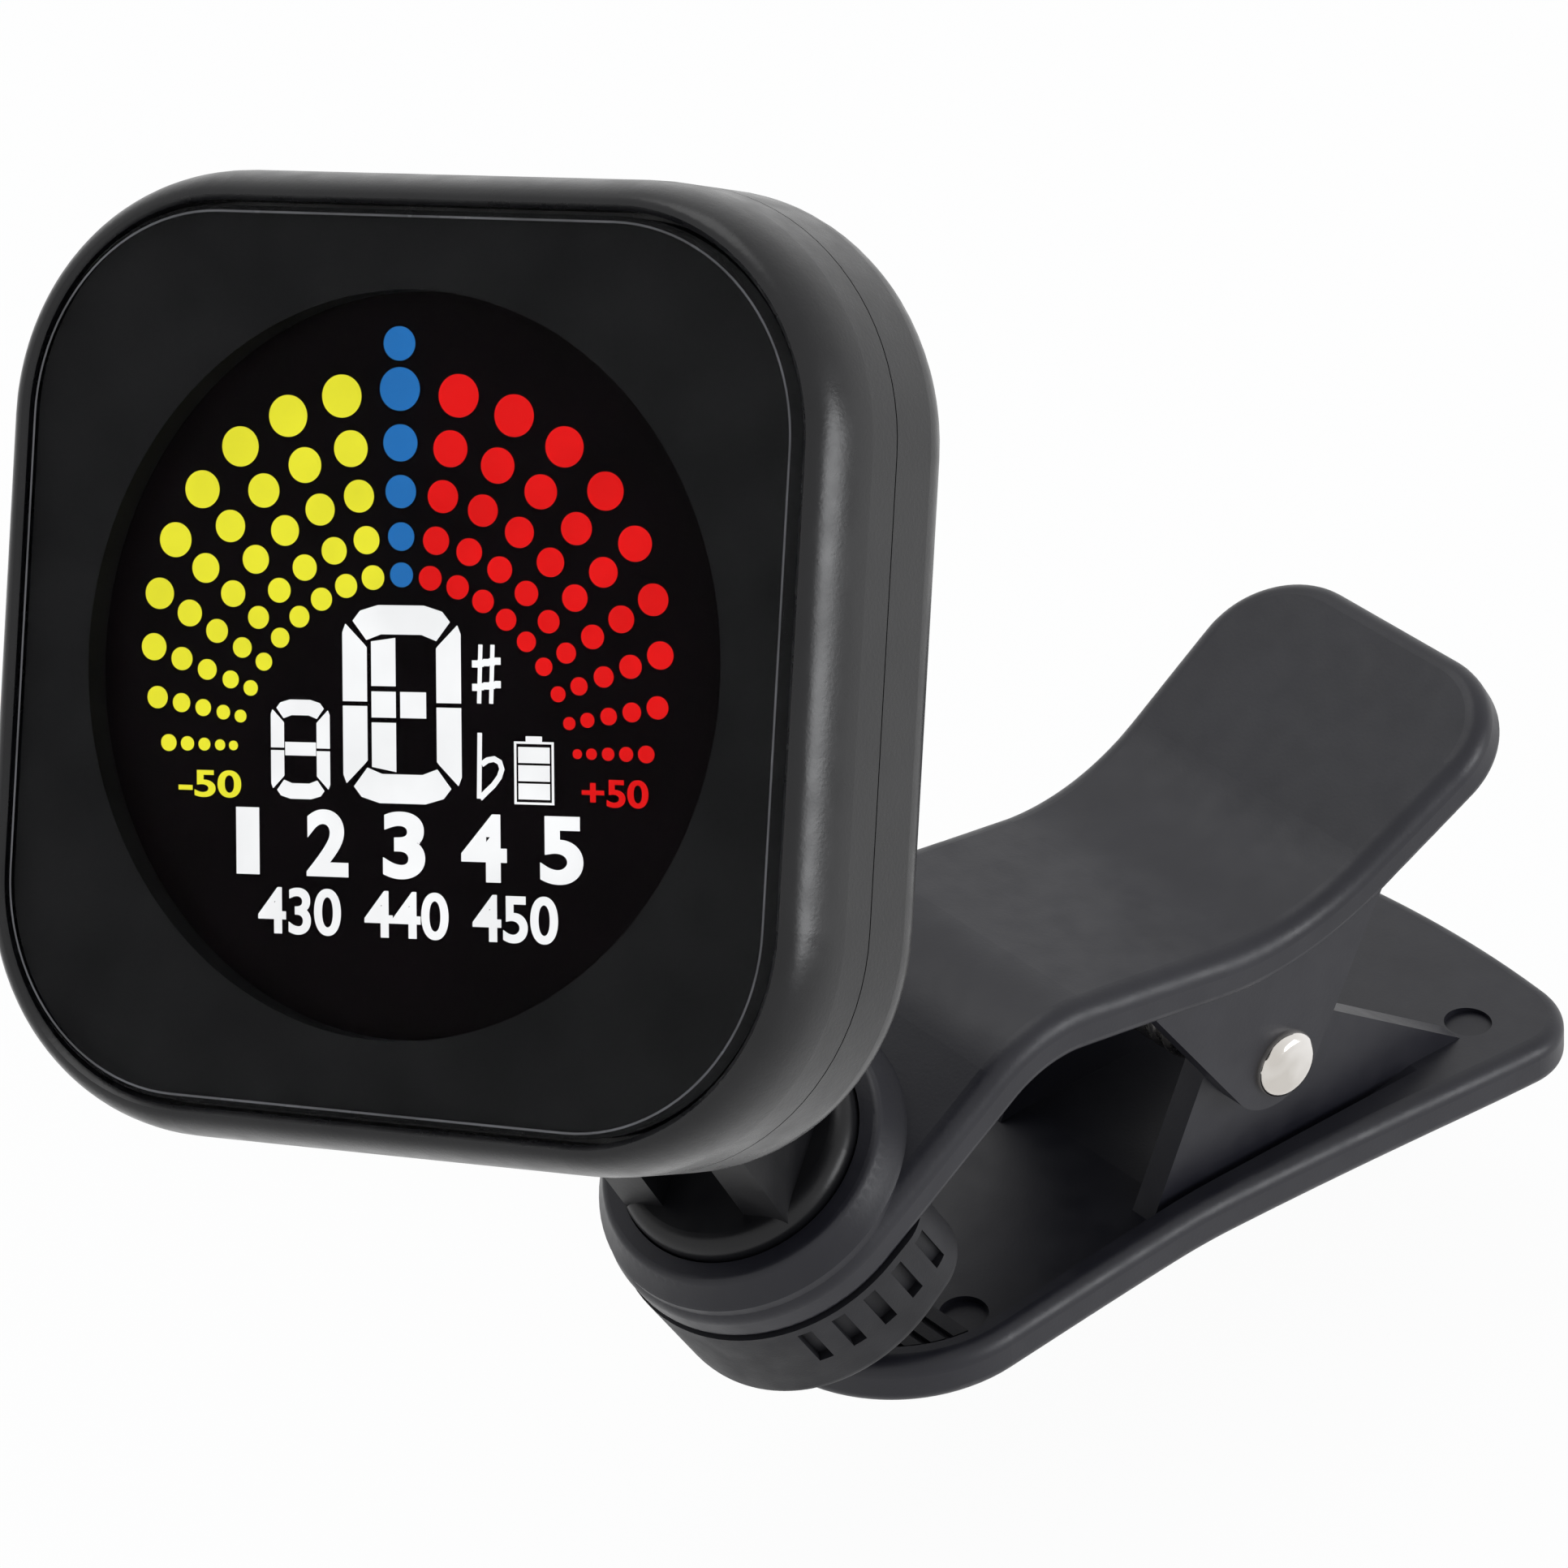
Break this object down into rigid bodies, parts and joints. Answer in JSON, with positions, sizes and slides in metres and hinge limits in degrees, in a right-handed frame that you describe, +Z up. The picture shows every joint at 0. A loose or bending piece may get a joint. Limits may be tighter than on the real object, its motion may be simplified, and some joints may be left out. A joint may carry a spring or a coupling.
{
  "type": "clip-on tuner",
  "caption": "Clip-on instrument tuner: a square colour display head on a tilt hinge and swivel, carried by a sprung clip with rubber jaw pads.",
  "frame": {"origin": "where the clip's two jaws meet, in the middle of their width", "axes": "+X along the clip from the jaws to the finger tabs, +Y across the clip, +Z up, on the head's side"},
  "size_m": [0.0812, 0.0505, 0.0739],
  "materials": {
    "housing_plastic": "satin black moulded plastic with a fine grain",
    "clip_plastic": "matt slate-black moulded plastic",
    "hinge_plastic": "satin black moulded plastic",
    "pad_rubber": "dull black rubber",
    "front_glass": "polished clear front sheet",
    "mask_print": "gloss black printed mask",
    "display": "deep black display cell",
    "guide_acrylic": "milky white light guide",
    "board_green": "solder resist",
    "chip_black": "moulded packages",
    "battery_foil": "foil pouch",
    "steel": "small plated screws and pins",
    "rivet_chrome": "bright plated rivet",
    "spring_steel": "bright spring wire",
    "piezo_brass": "brass disc",
    "washer_nylon": "nylon",
    "button_rubber": "soft-touch button"
  },
  "bodies": {
    "upper": {"upper_arm": "clip_plastic", "upper_pad": "pad_rubber", "pivot_pin": "rivet_chrome", "torsion_spring": "spring_steel", "friction_washer": "washer_nylon"},
    "lower": {"lower_arm": "clip_plastic", "lower_pad": "pad_rubber"},
    "turret": {"swivel_turret": "hinge_plastic", "turret_screw": "steel", "tilt_pin": "steel"},
    "head": {"front_bezel": "housing_plastic", "rear_cover": "housing_plastic", "face_lens": "front_glass", "display_mask": "mask_print", "display_panel": "display", "light_guide": "guide_acrylic", "circuit_board": "board_green", "controller_chips": "chip_black", "battery_cell": "battery_foil", "charge_port": "steel", "tact_switch": "chip_black", "piezo_disc": "piezo_brass", "case_screws": "steel", "neck_screws": "steel", "tilt_neck": "hinge_plastic"},
    "button": {"power_button": "button_rubber"}
  },
  "joints": [
    {"name": "jaw_hinge", "type": "hinge", "parent": "upper", "child": "lower", "pos_m": [0.03, 0, 0.0056], "axis": [0, -1, 0], "range_deg": [0, 30], "stiffness_Nm_per_rad": 0.1, "springref_deg": -28.65, "deforming": ["torsion_spring"]},
    {"name": "swivel", "type": "hinge", "parent": "upper", "child": "turret", "pos_m": [0.0033, 0, 0.00904], "axis": [-0.4772, 0, 0.8788], "continuous": true},
    {"name": "head_tilt", "type": "hinge", "parent": "turret", "child": "head", "pos_m": [-0.00472, 0, 0.0238], "axis": [0.3686, -0.9078, 0.2001], "range_deg": [-48, 58]},
    {"name": "button_press", "type": "slide", "parent": "head", "child": "button", "axis": [-0.8057, -0.2046, 0.5558], "range_m": [0, 0.0004], "stiffness_N_per_m": 400, "springref_m": -0.0005}
  ]
}
